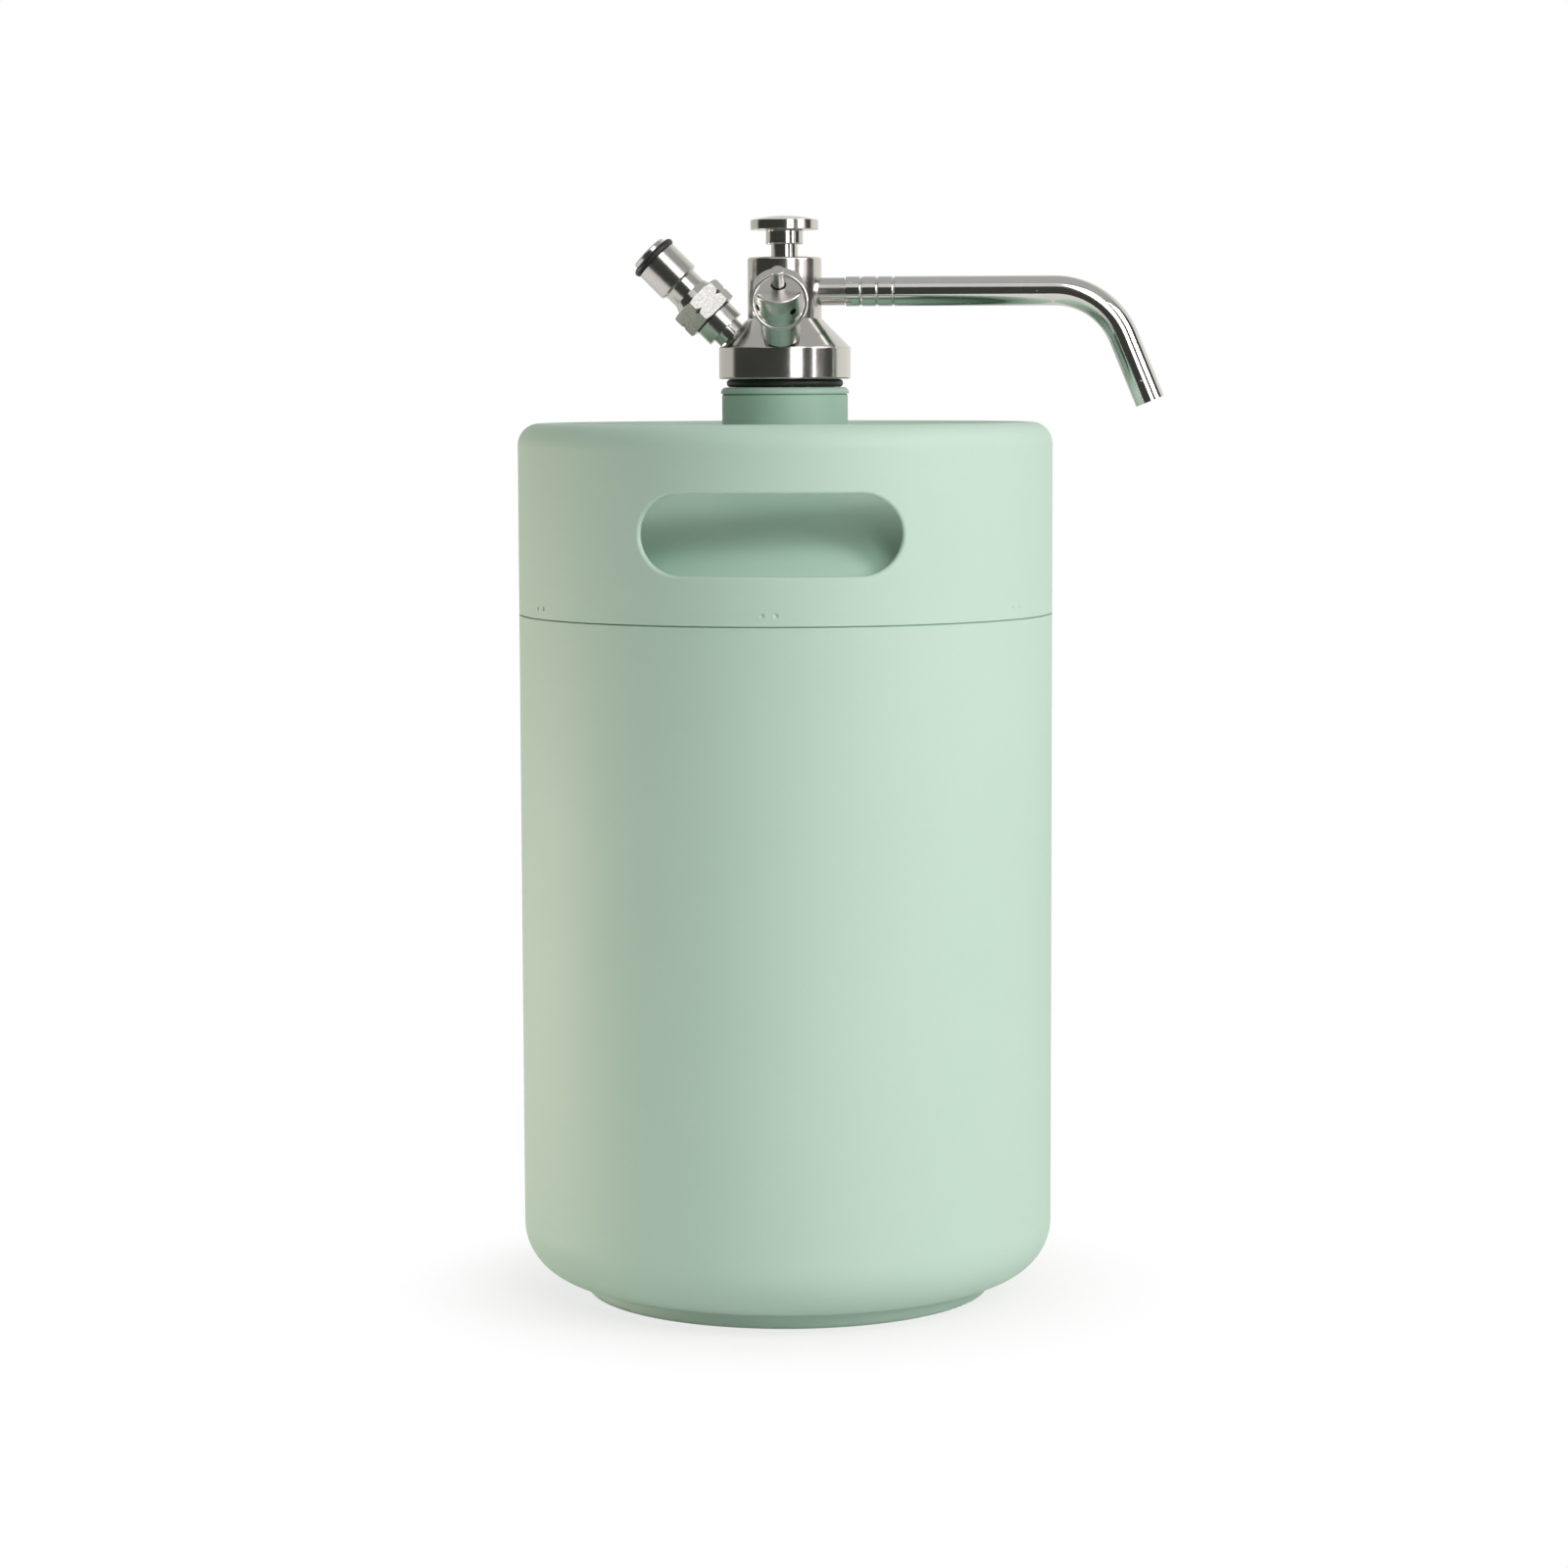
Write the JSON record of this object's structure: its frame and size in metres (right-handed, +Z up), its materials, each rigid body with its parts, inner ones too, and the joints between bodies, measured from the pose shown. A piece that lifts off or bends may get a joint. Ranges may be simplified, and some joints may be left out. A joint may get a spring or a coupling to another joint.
{
  "type": "insulated mini keg",
  "caption": "Vacuum-insulated mini keg with a handle collar and a screw-in tap head that has a push knob, bent spout, gas post and relief valve.",
  "frame": {"origin": "centre of the foot ring on the surface that the keg stands on", "axes": "+Z up along the keg, +X towards the spout, -Y towards the relief valve and the front handle slot"},
  "size_m": [0.2232, 0.185, 0.3745],
  "materials": {
    "powder_coat": "matte powder coat",
    "vessel_steel": "satin",
    "turned_steel": "turned",
    "polished_steel": "polished",
    "spring_steel": "drawn wire",
    "black_rubber": "matte"
  },
  "bodies": {
    "keg": {"outer_wall": "powder_coat", "shoulder_dome": "powder_coat", "base_cup": "powder_coat", "vacuum_plug": "vessel_steel", "liner_bottom": "vessel_steel", "liner_tube": "vessel_steel", "liner_top": "vessel_steel", "keg_neck": "powder_coat", "handle_collar": "powder_coat"},
    "head_ring": {"neck_seal": "black_rubber"},
    "head": {"tap_head": "turned_steel", "gland_bush": "turned_steel", "stem_seal": "black_rubber", "tap_spring": "spring_steel", "dip_tube": "vessel_steel", "tube_nut": "vessel_steel", "tube_seal": "black_rubber", "spout_nipple": "polished_steel", "spout_seal": "black_rubber", "gas_adapter": "turned_steel", "post_washer": "black_rubber", "gas_post": "turned_steel", "post_seal": "black_rubber", "poppet_spring": "spring_steel", "relief_base_seal": "black_rubber", "relief_body": "turned_steel", "relief_cap": "turned_steel", "relief_spring": "spring_steel"},
    "plunger": {"push_stem": "turned_steel", "stop_collar": "turned_steel", "push_knob": "turned_steel", "valve_washer": "black_rubber", "valve_disc": "turned_steel"},
    "poppet": {"gas_poppet": "turned_steel", "poppet_seal": "black_rubber"},
    "relief_lifter": {"relief_stem": "turned_steel", "relief_seal": "black_rubber"},
    "ring": {"pull_ring": "polished_steel"},
    "spout": {"spout_tube": "polished_steel"}
  },
  "joints": [
    {"name": "head_lift", "type": "slide", "parent": "keg", "child": "head_ring", "axis": [0, 0, 1], "range_m": [0, 0.305]},
    {"name": "head_unscrew", "type": "hinge", "parent": "head_ring", "child": "head", "pos_m": [0, 0, 0.3185], "axis": [0, 0, 1], "range_deg": [0, 900]},
    {"name": "tap_press", "type": "slide", "parent": "head", "child": "plunger", "axis": [0, 0, -1], "range_m": [0, 0.004], "stiffness_N_per_m": 1500, "springref_m": -0.004, "deforming": ["tap_spring"]},
    {"name": "gas_poppet_press", "type": "slide", "parent": "head", "child": "poppet", "axis": [0.7071, 0, -0.7071], "range_m": [0, 0.0025], "stiffness_N_per_m": 900, "springref_m": -0.003, "deforming": ["poppet_spring"]},
    {"name": "relief_pull", "type": "slide", "parent": "head", "child": "relief_lifter", "axis": [0, -0.7071, 0.7071], "range_m": [0, 0.0025], "stiffness_N_per_m": 1500, "springref_m": -0.004, "deforming": ["relief_spring"]},
    {"name": "ring_swing", "type": "hinge", "parent": "relief_lifter", "child": "ring", "pos_m": [0, -0.03799, 0.35314], "axis": [1, 0, 0], "range_deg": [-180, 0]},
    {"name": "spout_unscrew", "type": "hinge", "parent": "head", "child": "spout", "pos_m": [0.03, 0, 0.34848], "axis": [1, 0, 0], "range_deg": [0, 540]}
  ]
}
